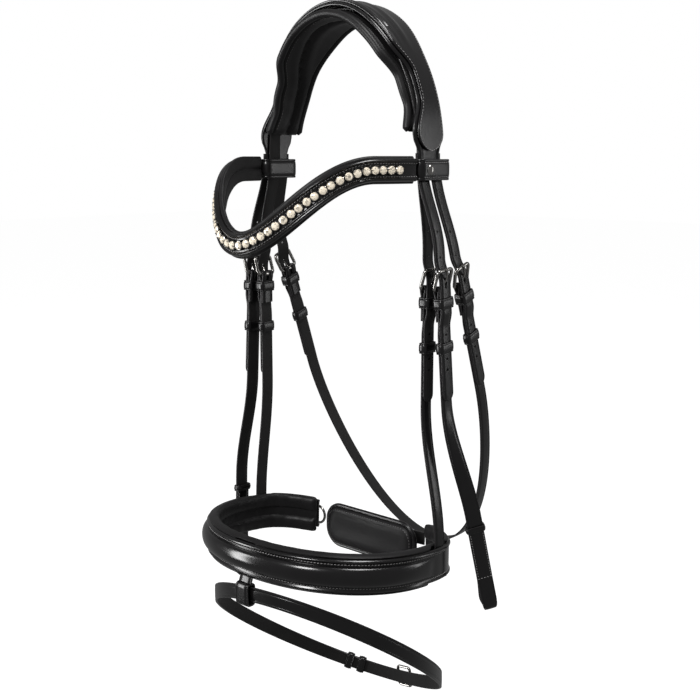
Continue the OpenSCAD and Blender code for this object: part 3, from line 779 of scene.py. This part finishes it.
def tongue(build, place):
    """A pin hinged on the bar, bent over the top of the frame."""
    up = -place.down
    bar = place.point(BAR_S)
    lift = up * math.cos(TONGUE_RISE) + place.out * math.sin(TONGUE_RISE)
    bend = bar + lift * PIN_KNEE
    last = up * math.cos(TONGUE_LAST_RISE) + place.out * math.sin(TONGUE_LAST_RISE)
    path = [bar + lift * mix(PIN_START, PIN_BEND, i / 8) for i in range(9)]
    path += bezier(path[-1], bend - lift * 0.8, bend + last * 0.8, bend + last * 2.6, 8)[1:]
    path += [bend + last * mix(2.6, PIN_TIP, i / 6) for i in range(1, 7)]
    build.tube(path, lambda u: mix(PIN_R, 0.8, u) * dome((1 - u) / PIN_ROUND, 0.1), 12, wdir=place.lat)
    eye = []
    for k in range(24):
        x = math.tau * k / 24
        eye.append(bar + up * (EYE_R * math.cos(x)) + place.out * (EYE_R * math.sin(x)))
    section = ((0.78, 1.2), (1.0, 1.35), (1.18, 1.2), (1.18, -1.2), (1.0, -1.35), (0.78, -1.2))
    build.loft([[bar + (q - bar) * r + place.lat * y for q in eye] for r, y in section], closed=True)


def chape(build, place, w, onward, wdir=BACK):
    """The strap folded round the bar. It starts inside, turns over the bar and goes on along onward."""
    def layer(way, spots):
        return [place.point(s, way * mix(LAYER_N, FOLD_R, ease((42 - s) / 10))) for s in spots]

    inner = layer(-1, range(CHAPE_END_S, 37, -2))
    fold = [place.point(BAR_S - FOLD_R * math.sin(x), -FOLD_R * math.cos(x))
            for x in (math.pi * k / 14 for k in range(15))]
    turn = layer(-1, (38, 36, 34)) + fold + layer(1, (34, 36, 38))
    outer = layer(1, range(38, CHAPE_END_S - 1, 2)) + onward
    section = strap_section(w, 1.9)
    sweep(build, inner, section, side=place.sign)
    sweep(build, resample(outer, 2.2), section, wdir, place.sign)
    half = (w - 3.4) / 2
    strip = strap_section(half, 1.9, 1.2)
    for way in (1, -1):
        moved = [p + place.lat * (way * (1.7 + half / 2)) for p in turn]
        sweep(build, moved, strip, side=place.sign)


def chape_stitches(build, place, w):
    for way in (1, -1):
        stitch_row(build, [place.point(s, 2.1) for s in (50.5, 54, 58, 60)], way * (w / 2 - 2.9),
                   side=place.sign)


def straight_run(place):
    """The strap from the end of its fold down to STRAIGHT_S, settling to one thickness."""
    return [place.point(s, LAYER_N * ease((72 - s) / 12)) for s in range(CHAPE_END_S, STRAIGHT_S, 4)]


# Where each cheekpiece's curve ends, its lean there, and how far its loop has turned towards the front
CHEEK_END = {"near": (Vector((127, 29, -441)), 18.0, 40.0),
             "far": (Vector((-122, -26, -438)), -2.0, 0.0)}
# The bit loop: its middle down from there and inward, its bend, and the place of the hook stud
LOOP_DROP, LOOP_IN, LOOP_BEND, STUD_S = 101.0, 4.7, 5.7, 52.0

for side in SIDES:
    # Cheekpiece
    place = PLACES[side, "cheek"]
    spot, lean, turn = CHEEK_END[side]
    end = Side(None, lean, SIDES[side], spot, turn)
    a = place.point(STRAIGHT_S)

    def turning(p, a=a, spot=spot, lean=lean, turn=turn):
        k = math.radians(turn * ease((a.z - p.z) / (a.z - spot.z)))
        tip = math.radians(lean)
        return Vector((math.sin(k), math.cos(k) * math.cos(tip), math.cos(k) * math.sin(tip)))

    def spread(s):
        """How far the bit loop's two sides have opened."""
        return ease((s - 66) / 34)

    curve = bezier(a, a + place.down * 35, spot - end.down * 35, spot, 24)
    lower = [end.point(s, spread(s)) for s in range(4, 100, 4)]
    loop = [end.point(LOOP_DROP + LOOP_BEND * math.sin(x), -LOOP_IN + LOOP_BEND * math.cos(x))
            for x in (math.pi * k / 16 for k in range(17))]
    back = [end.point(s, mix(-2.25, -10.4, spread(s) ** 1.2)) for s in range(98, 8, -3)]
    b = Build()
    chape(b, place, CHEEK_W, straight_run(place) + curve + lower, turning)
    section = strap_section(CHEEK_W - 0.3, 1.8)
    turned = lower[-1:] + loop + back

    def loop_width(p, end=end):
        """The loop narrows to a rounded end over its last 11 mm."""
        above = LOOP_DROP + LOOP_BEND - (p - end.at).dot(end.down)
        return mix(0.52, 1.0, dome(above / 11))

    sweep(b, resample(turned, 1.2), section, end.lat, end.sign, narrow=loop_width)
    body = f"{side}_cheekpiece"
    b.done(f"{side}_cheek_strap_leather", STRAP, body, f"{side}_cheek_strap")
    b = Build()
    band(b, end, CHEEK_W, -3.7, 1.3, 14, 6.0, 1.2)
    b.done(f"{side}_cheek_loop_keeper", STRAP, body)
    b = Build()
    chape_stitches(b, place, CHEEK_W)
    for way in (1, -1):
        for n in (1.05, -3.2):
            stitch_row(b, [end.point(s, n) for s in range(20, 67, 3)], way * (CHEEK_W / 2 - 1.5),
                       wdir=end.lat, side=end.sign)
    stitch_row(b, [end.point(68, 1.3, y) for y in (-6, 0, 6)], wdir=end.down, side=-end.sign)
    b.done(f"{side}_cheek_stitches", [THREAD], body)
    b = Build()
    b.turned(end.point(STUD_S, 0), -end.out,
             [(1.5, 1.1), (1.5, 3.5), (2.9, 3.7), (3.1, 4.2), (2.6, 4.7), (1.0, 4.9)], 24)
    b.done(f"{side}_hook_stud_steel", [STEEL], body, f"{side}_hook_stud")

HANGER_END = {"near": Vector((NOSE_HALF_NEAR - 2.4, -5.5, -461)),
              "far": Vector((-(NOSE_HALF - 2.4), -14.5, -461))}
b, s_b = Build(), Build()
for side in SIDES:
    place = PLACES[side, "hanger"]
    a, e = place.point(STRAIGHT_S), HANGER_END[side]
    curve = bezier(a, a + Vector((0, 0, -45)), e + Vector((-place.sign, 0, 45)), e, 20)
    tuck = [e + Vector((0, 0, -z)) for z in (4, 8, 12)]
    chape(b, place, HANGER_W, straight_run(place) + curve + tuck)
    chape_stitches(s_b, place, HANGER_W)
b.done("hanger_strap_leather", STRAP, "noseband", "hanger_straps")
s_b.done("hanger_stitches", [THREAD], "noseband")

near, far = PLACES["near", "throatlash"], PLACES["far", "throatlash"]
b, s_b = Build(), Build()
bottom = Vector((0, 140, -522))
for place in (near, far):
    a = place.point(STRAIGHT_S)
    curve = bezier(a, a + place.down * 66, bottom + Vector((70 * place.sign, 0, 0)), bottom, 40)
    chape(b, place, HANGER_W, straight_run(place) + curve)
    chape_stitches(s_b, place, HANGER_W)
b.done("throatlash_strap_leather", STRAP, "throatlash", "throatlash_strap")
s_b.done("throatlash_stitches", [THREAD], "throatlash")


def fittings(body, stem, buckle_node, keeper_node, names, kind, sides, w):
    """The buckle frames and fixed keepers on one body, as one piece each."""
    frames_b, keepers_b = Build(), Build()
    for side in sides:
        buckle(frames_b, PLACES[side, kind], w)
        band(keepers_b, PLACES[side, kind], w, -2.3, 5.7, KEEPER_S)
    frames_b.done(f"{stem}_{names[0]}", [STEEL], body, buckle_node)
    keepers_b.done(f"{stem}_{names[1]}", STRAP, body, keeper_node)


for side in SIDES:
    stem = f"{side}_cheek"
    fittings(f"{side}_cheekpiece", stem, f"{stem}_buckle", f"{stem}_keeper",
             ("buckle_frame", "keeper_band"), "cheek", [side], CHEEK_W)
for kind, body in (("hanger", "noseband"), ("throatlash", "throatlash")):
    fittings(body, kind, f"{kind}_buckles", f"{kind}_keepers", ("buckle_frames", "keeper_bands"),
             kind, SIDES, HANGER_W)

for side, kind in PLACES:
    stem, place, w = f"{side}_{kind}", PLACES[side, kind], CHEEK_W if kind == "cheek" else HANGER_W
    t_b, r_b = Build(), Build()
    tongue(t_b, place)
    band(r_b, place, w, -1.3, 3.3, RUNNER_S)
    t_b.done(f"{stem}_tongue_pin", [STEEL], f"{stem}_tongue", f"{stem}_tongue")
    r_b.done(f"{stem}_runner_band", STRAP, f"{stem}_runner", f"{stem}_runner")


# ---- browband
def brow_point(a):
    """a is 0 at the middle of the forehead. The band dips there in a wave that is turned by BROW_TURN."""
    wave = (1 + math.cos(math.radians(min(180, abs(a + BROW_TURN) * 2.8)))) / 2
    return Vector((BROW_HALF * math.sin(math.radians(a)), 6 - (BROW_FRONT + 6) * math.cos(math.radians(a)),
                   BROW_Z - BROW_DIP * wave))


def rolled_band(height, thick, bead, channel):
    """A browband or noseband section: a rolled edge above and below, and a channel along the middle.

    channel is its depth and half width.
    """
    h = height / 2
    up = []
    for k in range(41):
        x = mix(-h, h, k / 40)
        y = thick * (0.5 + 0.5 * dome((h - abs(x)) / 1.6)) + bead * hill(abs(x), h - 2.0, 2.2)
        up.append((x, y - channel[0] * ease((channel[1] - abs(x)) / 0.9)))
    return up + [(h - 1.0, 0), (0, 0), (-h + 1.0, 0)], [0] * 40 + [1] + [2] * 2 + [1]


def brow_samples(end, count):
    return [brow_point(mix(-end, end, i / count)) for i in range(count + 1)]


brow_path = resample(brow_samples(BROW_END, 200), 2.4)
section = rolled_band(BROW_H, 3.0, 1.5, (0.5, 4.4))
b = Build()
sweep(b, brow_path, section, wdir=UP)
b.done("browband_band", [GLOSSY, BURNISHED, FLESH_SIDE], "browband", "browband_leather")
b = Build()
for way in (1, -1):
    stitch_row(b, brow_path, way * 5.5, 3.05, wdir=UP, pitch=2.6, length=1.7)
b.done("browband_stitches", [THREAD], "browband")

b = Build()
rings = []
pad_path = resample(brow_samples(BROW_END, 200), 1.6)
section = slab(BROW_H + 4, -4.6, -0.15, 2.4, 20, [(0, -1.2, 2.5)])
for i, (p, t, w, o) in enumerate(frames(pad_path, UP)):
    puff = 0.1 * math.sin(i * 0.35) + 0.1 * math.sin(i * 0.21 + 2)
    rings.append([p + w * x + o * (y - (puff if y < -3.5 else 0)) for x, y in section])
b.loft(rings)
b.done("browband_pad", [SOFT], "browband", "browband_padding")

# Radius and height of each ring of a crystal, and its turn as a share of one facet
FACETS = 8
CUT = ((0.98, 0.0, 0.0), (1.0, 0.5, 0.0), (0.8, 1.3, 0.5), (0.42, 1.95, 0.0))
CUP = [(CRYSTAL_R - 0.4, 0), (CRYSTAL_R + 0.25, 0.5), (CRYSTAL_R + 0.45, 1.6), (CRYSTAL_R + 0.1, 2.1)]
line = brow_samples(70, 240)
lengths = path_lengths(line)
gems, cups = Build(), Build()
for k in range(CRYSTAL_N):
    s = lengths[-1] * k / (CRYSTAL_N - 1)
    i = min(range(1, 241), key=lambda q: abs(lengths[q] - s))
    p = line[i - 1].lerp(line[i], max(0.0, min(1.0, (s - lengths[i - 1]) / (lengths[i] - lengths[i - 1]))))
    t = (line[min(i + 1, 240)] - line[max(i - 2, 0)]).normalized()
    w = (UP - t * UP.dot(t)).normalized()
    o = t.cross(w)
    turn = k * 0.7
    rings = []
    for r, h, off in CUT:
        rings.append([p + o * (BROW_T + 1.1 + h) + (t * math.cos(x) + w * math.sin(x)) * (CRYSTAL_R * r)
                      for x in (turn + math.tau * (q + off) / FACETS for q in range(FACETS))])
    gems.loft(rings)
    cups.turned(p + o * 2.6, o, CUP, 18)
    for q in range(4):
        x = turn + math.tau * (q + 0.5) / 4
        ray = t * math.cos(x) + w * math.sin(x)
        base = p + o * 4.0 + ray * (CRYSTAL_R + 0.35)
        claw = [base, base + o * 1.2, base + o * 1.9 - ray * 0.4, base + o * 2.2 - ray * 1.0]
        cups.tube(claw, lambda u: mix(0.5, 0.3, u), 6)
gems.done("browband_cut_crystals", [CRYSTAL], "browband", "browband_crystals", sharp=8)
cups.done("browband_claw_cups", [STEEL], "browband", "browband_crystal_cups")

LOOP_X, LOOP_FACE_X, STUD_Y = 93, 101.4, -8     # the browband's end loops, their outer face, and the studs
b, s_b, studs = Build(), Build(), Build()
for sign in (1, -1):
    centre = Vector((LOOP_X * sign, 1, BROW_Z))
    ring = resample(ring_path(centre, NEAR * sign, BACK, 7.3, 20.1, 4.5, 8), 1.6, True)
    section = strap_section(18, 1.9, 2.2, crown=0.3)
    sweep(b, ring, section, wdir=UP, side=sign, closed=True)
    row = [Vector((LOOP_FACE_X * sign, y, BROW_Z)) for y in range(-15, 18, 2)]
    for way in (1, -1):
        stitch_row(s_b, row, way * 6.2, wdir=UP, side=sign)
    studs.turned(Vector(((LOOP_FACE_X - 0.1) * sign, STUD_Y, BROW_Z)), Vector((sign, 0, 0)),
                 [(4.5, 0), (4.6, 0.4), (4.3, 1.0), (3.6, 1.7), (2.5, 2.25), (1.3, 2.5), (0.4, 2.55)], 32)
b.done("browband_loop_bands", [BLACK, BURNISHED, FLESH_SIDE], "browband", "browband_loops")
s_b.done("browband_loop_stitches", [THREAD], "browband")
studs.done("browband_plain_studs", [STEEL], "browband", "browband_studs")


# ---- noseband
def nose_point(a, off=0.0):
    """a is 0 at the near side, 90 at the jaw and -90 over the nose. The jaw side is open."""
    c, s = math.cos(math.radians(a)), math.sin(math.radians(a))
    if s > 0:
        y = NOSE_Y + ((NOSE_REAR_NEAR if c > 0 else NOSE_REAR) + off) * power(s, 2.8)
    else:
        y = NOSE_Y + (NOSE_FRONT + off) * power(s, 2.15)
    x = ((NOSE_HALF_NEAR if c > 0 else NOSE_HALF) + off) * power(c, 2.8 if s > 0 else 2.15)
    return Vector((x, y, NOSE_Z - NOSE_TILT * (y - NOSE_Y + NOSE_FRONT)))


def nose_samples(a0, a1, count, off=0.0):
    return [nose_point(mix(a0, a1, i / count), off) for i in range(count + 1)]


FIRST, LAST = -180 - NOSE_END, NOSE_END
nose_path = resample(nose_samples(FIRST, LAST, 400), 2.6)
section = rolled_band(30, 2.7, 1.3, (0.0, 1.0))
b = Build()
sweep(b, nose_path, section, wdir=UP)
b.done("noseband_band", [GLOSSY, BURNISHED, FLESH_SIDE], "noseband", "noseband_leather",
       slot="strap_leather")
b = Build()
for way in (1, -1):
    stitch_row(b, nose_path, way * NOSE_STITCH_W, 2.8, wdir=UP, pitch=2.8)
for i in (3, len(nose_path) - 4):        # a row across each end
    p, t, w, o = frames(nose_path, UP)[i]
    stitch_row(b, [p + w * x + o * 2.75 for x in (-8, -3, 3, 8)], wdir=t)
b.done("noseband_stitches", [THREAD], "noseband")

# The raised roll swells over the nose and thins towards its ends
roll_path = resample(nose_samples(-179, 4, 400), 2.2)
b, rings = Build(), []
for i, (p, t, w, o) in enumerate(frames(roll_path, UP)):
    x = abs(i / (len(roll_path) - 1) * 2 - 1)
    k = ease(x * 3 - 2)
    wide, high = mix(18, 17, k), mix(6.0, 1.1, k) * (0.1 + 0.9 * ease((1 - x) / 0.06))
    ring = [(-math.cos(x) * wide / 2, 2.75 + high * math.sin(x) ** 0.8)
            for x in (math.pi * q / 20 for q in range(21))]
    rings.append([p + w * y + o * n for y, n in ring + [(wide / 4, 2.7), (-wide / 4, 2.7)]])
b.loft(rings)
b.done("noseband_raised_roll", [GLOSSY], "noseband", "noseband_roll")


def at_hanger(a):
    """1 where a hanger strap comes down behind the noseband's leather."""
    return max(ease((11 - abs(a - 11.4)) / 4), ease((11 - abs(a + 188.6)) / 4))


b, rings = Build(), []
count = 420
spots = nose_samples(FIRST, LAST, count)
walked = path_lengths(spots)
for i, (p, t, w, o) in enumerate(frames(spots, UP)):
    a, s = mix(FIRST, LAST, i / count), walked[i]
    strap = at_hanger(a)
    room = 3.7 * strap + 2.4 * ease((6 - abs(a + 90)) / 2.5)
    end = dome(min(s, walked[-1] - s) / 6, 0.05)
    ring = []
    for x, n in slab(36.5, -0.15, -8.0, 4.0, 28):
        if n > -3.2:
            n += (2.6 * hill(abs(x), 16.4, 2.6) * (1 - strap) - room * ease((17 - abs(x)) / 1.5)
                  - 0.9 * strap * ease((abs(x) - 15) / 2))
        elif n < -5.5:
            n += 2.6 * ease((6.5 - abs(x)) / 2.5) - 0.5 * hill(abs(x), 11, 5)
            n += 0.3 * math.sin(s * 0.33 + (1.3 if x > 0 else 0)) * math.sin(s * 0.11)
        ring.append(p + w * (x * mix(0.9, 1, end)) + o * (-4 + (n + 4) * end))
    rings.append(ring)
b.loft(rings)
b.done("noseband_pad", [SOFT], "noseband", "noseband_padding")
b = Build()
inside = resample(nose_samples(FIRST + 3, LAST - 3, 300), 2.6)
for way in (1, -1):
    stitch_row(b, inside, way * 5.2, -5.7, wdir=UP, pitch=3.0, length=1.8)
b.done("noseband_pad_stitches", [DARK_THREAD], "noseband")

DEE_R = 9.0
DEES = {sign: Vector((70.0 * sign, nose_point(a, 9).y, -485)) for sign, a in ((1, LAST), (-1, 180 - LAST))}
b = Build()
for sign, at in DEES.items():
    b.tube([at + Vector((DEE_R * math.cos(x), 0, DEE_R * math.sin(x)))
            for x in (math.tau * k / 48 for k in range(48))], 1.35, 12, True, wdir=BACK)
b.done("noseband_dee_rings", [STEEL], "noseband", "noseband_dees")

# Loop that carries the flash strap, with its tab tucked behind the noseband leather
b = Build()
centre = Vector((0, FLASH_Y - FLASH_DEPTH, FLASH_Z))
ring = resample(ring_path(centre, BACK, UP, 4.1, 9.6, 2.4, 6), 1.2, True)
section = strap_section(15.6, 1.8, 1.6)
sweep(b, ring, section, wdir=NEAR, closed=True)
tucked = Vector((0, -133.5, -470))
tab = bezier(centre + UP * 9.7, centre + UP * 12.5, tucked - UP * 16, tucked, 12)
sweep(b, tab, section, wdir=NEAR, side=-1)
b.done("flash_loop_band", STRAP, "noseband", "flash_loop")

section = strap_section(13, 1.9)
b = Build()
ends = [DEES[-1].lerp(DEES[1], 0.09), DEES[-1].lerp(DEES[1], 0.91)]
sweep(b, [ends[0].lerp(ends[1], k / 30) for k in range(31)], section, wdir=UP, side=-1)
b.done("crank_strap_leather", STRAP, "noseband", "crank_strap")

# Jaw pad
jaw_low, jaw_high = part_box("jaw_pad_piping")
jaw_at = (jaw_low + jaw_high) / 2 / MM
jaw_half = (jaw_high - jaw_low) / 2 / MM
JAW_CORNER = 19
JAW_FACE = ((JAW_CORNER, -4.9), (14, -5.2), (9, -5.1), (6, -4.4), (4.4, -3.0), (3.7, -1.2), (3.5, 0))


def jaw_outline(inset, y):
    r = max(1.5, JAW_CORNER - inset)
    loop = ring_path(jaw_at, NEAR, UP, jaw_half.x - inset, jaw_half.z - inset, r, 8)
    return [p + BACK * y for p in loop]


b = Build()
b.loft([jaw_outline(i, y) for i, y in JAW_FACE + tuple((i, -y) for i, y in JAW_FACE[-2::-1])])
b.done("jaw_pad_cushion", [SOFT], "jaw_pad", "jaw_pad")
b = Build()
b.tube(resample(jaw_outline(2.3, 0), 1.4, True), 2.3, 14, True, wdir=BACK)
b.done("jaw_pad_cord", [BLACK], "jaw_pad", "jaw_pad_piping", slot="soft_leather")
b = Build()
for y in (-4.5, 4.5):
    stitch_row(b, jaw_outline(5.6, y), closed=True, wdir=BACK, pitch=3.0)
b.done("jaw_pad_stitches", [DARK_THREAD], "jaw_pad")


# ---- flash strap
def flash_point(a):
    y = FLASH_Y + FLASH_DEPTH * math.sin(math.radians(a))
    x = FLASH_HALF * math.cos(math.radians(a))
    return Vector((x, y, FLASH_Z - FLASH_SLOPE * (y - FLASH_Y + FLASH_DEPTH) + FLASH_ROLL * x))


def flash_place(a):
    """The point, along, across and outward at one angle of the flash strap."""
    t = (flash_point(a + 1) - flash_point(a - 1)).normalized()
    w = (UP - t * UP.dot(t)).normalized()
    return flash_point(a), t, w, t.cross(w)


section = strap_section(FLASH_W, 2.3, 2.4)
flash_path = resample([flash_point(a) for a in range(0, 360, 2)], 2.6, True)
b = Build()
sweep(b, flash_path, section, wdir=UP, closed=True)
b.done("flash_strap_leather", STRAP, "flash", "flash_strap")

for a, name, body in ((FLASH_KEEPER, "flash_keeper", "flash"),
                      (FLASH_RUNNER, "flash_runner", "flash_runner")):
    p, t, w, o = flash_place(a)
    b = Build()
    ring = resample(ring_path(p, w, o, FLASH_W / 2 + 1.1, 2.8, 1.5, 5), 1.1, True)
    section = strap_section(7.8, 1.3, 1.2, crown=0.25)
    sweep(b, ring, section, wdir=t, closed=True)
    b.done(f"{name}_band", STRAP, body, name)

p, t, w, o = flash_place(FLASH_BUCKLE)
b = Build()
ring = ring_path(p + o * 3.0, t, w, 8.2, FLASH_W / 2 + 2.9, 2.8, 8)
b.tube(resample(ring, 0.9, True), 1.5, 14, True, wdir=o)
b.done("flash_buckle_frame", [STEEL], "flash", "flash_buckle")
b = Build()
b.tube([p + o * 5.3 + t * mix(-8.4, 9.4, k / 20) for k in range(21)],
       lambda u: PIN_R * dome((1 - u) / PIN_ROUND, 0.1), 12, wdir=w)
b.done("flash_tongue_pin", [STEEL], "flash_tongue", "flash_tongue")


# ---- surroundings
def turn_to(obj, at, direction):
    """Places a light or camera at a point, looking along a direction."""
    obj.location = at
    obj.rotation_mode = "QUATERNION"
    obj.rotation_quaternion = direction.to_track_quat("-Z", "Y")
    bpy.context.scene.collection.objects.link(obj)


def area(name, at, aim, size, power_w):
    light = bpy.data.lights.new(name, "AREA")
    light.shape, light.size, light.size_y, light.energy = "RECTANGLE", size[0], size[1], power_w
    obj = bpy.data.objects.new(name, light)
    turn_to(obj, at, Vector(aim) - Vector(at))
    obj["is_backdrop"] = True


area("key", (0.25, -1.5, 0.8), (0, 0, -0.3), (0.45, 0.6), 19)
area("side", (1.15, 1.15, -0.1), (0, 0, -0.3), (0.16, 1.0), 2)
area("edges", (-1.05, -1.2, -0.3), (0, 0, -0.3), (0.3, 1.3), 15)
area("top", (0.5, 0.2, 1.3), (0, 0, -0.1), (0.7, 0.4), 13)

floor_paint = Shader("pale_floor", Base_Color=(0.3, 0.3, 0.3, 1), Roughness=1.0, Specular_IOR_Level=0.0,
                     Emission_Color=(1, 1, 1, 1), Emission_Strength=0.93)
FLOOR, floor_z = 9, cad_low.z - 0.05      # in metres: half its width, and its height, 5 cm below the bridle
floor = bpy.data.meshes.new("floor")
corners = [(-FLOOR, -FLOOR), (FLOOR, -FLOOR), (FLOOR, FLOOR), (-FLOOR, FLOOR)]
floor.from_pydata([(x, y, floor_z) for x, y in corners], [], [(0, 1, 2, 3)])
floor.materials.append(floor_paint.material)
floor_obj = bpy.data.objects.new("floor", floor)
bpy.context.scene.collection.objects.link(floor_obj)
floor_obj.visible_glossy = floor_obj.visible_diffuse = False
floor_obj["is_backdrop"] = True

world = bpy.data.worlds.new("studio")
bpy.context.scene.world = world
world.use_nodes = True
wn, wl = world.node_tree.nodes, world.node_tree.links
seen, lit = wn.new("ShaderNodeBackground"), wn["Background"]
ray, choose = wn.new("ShaderNodeLightPath"), wn.new("ShaderNodeMixShader")
seen.inputs["Color"].default_value = (1, 1, 1, 1)
lit.inputs["Color"].default_value = (1, 1, 1, 1)
lit.inputs["Strength"].default_value = 0.2   # what the leather mirrors, kept dim so that black stays black
wl.new(ray.outputs["Is Camera Ray"], choose.inputs["Fac"])
wl.new(lit.outputs["Background"], choose.inputs[1])
wl.new(seen.outputs["Background"], choose.inputs[2])
wl.new(choose.outputs["Shader"], wn["World Output"].inputs["Surface"])
bpy.context.scene.view_settings.view_transform = "Standard"

camera = bpy.data.cameras.new("camera")
camera.lens, camera.sensor_width = 54.05, 36.0
camera.clip_start = 0.05
camera_obj = bpy.data.objects.new("camera", camera)
azimuth, elevation, distance = math.radians(41.4), math.radians(10.3), 0.993
flat = math.cos(elevation)
back = Vector((math.sin(azimuth) * flat, -math.cos(azimuth) * flat, math.sin(elevation)))
turn_to(camera_obj, Vector((0.0015, 0.0018, -0.2985)) + back * distance, -back)
bpy.context.scene.camera = camera_obj

low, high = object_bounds()
